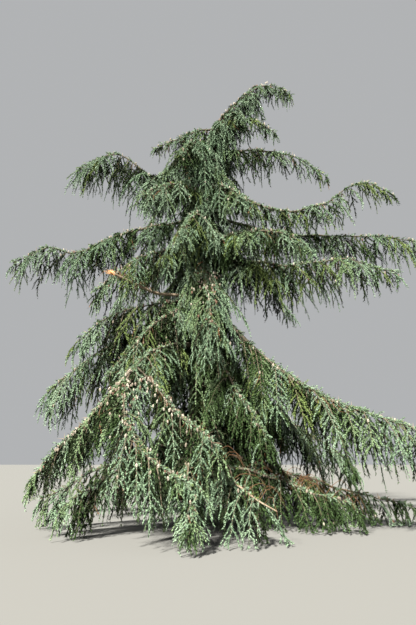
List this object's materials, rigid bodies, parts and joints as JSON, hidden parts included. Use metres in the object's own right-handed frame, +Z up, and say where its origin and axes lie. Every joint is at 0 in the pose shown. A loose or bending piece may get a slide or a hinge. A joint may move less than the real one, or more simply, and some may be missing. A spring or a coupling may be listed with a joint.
{
  "type": "cedar of lebanon tree",
  "caption": "Tall weeping conifer: flared trunk cut flat at the ground, arching leader, long bowed boughs and hanging curtains of blue-green needles.",
  "frame": {"origin": "centre of the flat cut under the trunk, at ground level", "axes": "+Z up the trunk, +X to the picture's right, towards which the leader arches, +Y away from the picture's viewer"},
  "size_m": [13.4838, 10.6424, 14.456],
  "materials": {
    "trunk_bark": "rough, fissured grey-brown bark",
    "bough_bark": "rough grey-brown bark with pale spur wood",
    "needles_blue": "matt waxy blue-green needles",
    "needles_grey_green": "matt waxy grey-green needles"
  },
  "bodies": {
    "root": {"bough_front_4": "bough_bark", "bough_front_left": "bough_bark", "bough_front_low_2": "bough_bark", "bough_left_2": "bough_bark", "bough_left_3": "bough_bark", "bough_left_5": "bough_bark", "bough_left_broken": "bough_bark", "bough_left_low": "bough_bark", "bough_right_2": "bough_bark", "bough_right_3": "bough_bark", "bough_right_5": "bough_bark", "bough_right_6": "bough_bark", "bough_right_low": "bough_bark", "needles_back_1": "needles_blue", "needles_back_10": "needles_blue", "needles_back_2": "needles_grey_green", "needles_back_3": "needles_blue", "needles_back_4": "needles_grey_green", "needles_back_5": "needles_blue", "needles_back_6": "needles_grey_green", "needles_back_7": "needles_grey_green", "needles_back_8": "needles_blue", "needles_back_9": "needles_grey_green", "needles_front_1": "needles_grey_green", "needles_front_2": "needles_blue", "needles_front_3": "needles_grey_green", "needles_front_4": "needles_grey_green", "needles_front_5": "needles_blue", "needles_front_6": "needles_grey_green", "needles_front_left": "needles_grey_green", "needles_front_low": "needles_grey_green", "needles_front_low_2": "needles_blue", "needles_front_low_3": "needles_blue", "needles_front_low_4": "needles_grey_green", "needles_front_mid": "needles_blue", "needles_leader": "needles_blue", "needles_left_2": "needles_grey_green", "needles_left_3_inner": "needles_blue", "needles_left_3_outer": "needles_grey_green", "needles_left_5": "needles_blue", "needles_left_broken": "needles_grey_green", "needles_left_low": "needles_blue", "needles_ridge_front": "needles_grey_green", "needles_ridge_left": "needles_blue", "needles_ridge_right": "needles_blue", "needles_right_1": "needles_blue", "needles_right_2_inner": "needles_blue", "needles_right_2_outer": "needles_grey_green", "needles_right_3_inner": "needles_blue", "needles_right_3_outer": "needles_grey_green", "needles_right_4": "needles_blue", "needles_right_5": "needles_blue", "needles_right_6_inner": "needles_blue", "needles_right_6_outer": "needles_grey_green", "needles_right_low": "needles_grey_green", "needles_top_back": "needles_grey_green", "needles_top_front": "needles_blue", "needles_top_left": "needles_grey_green", "needles_top_right": "needles_grey_green", "trunk": "trunk_bark"}
  },
  "joints": []
}
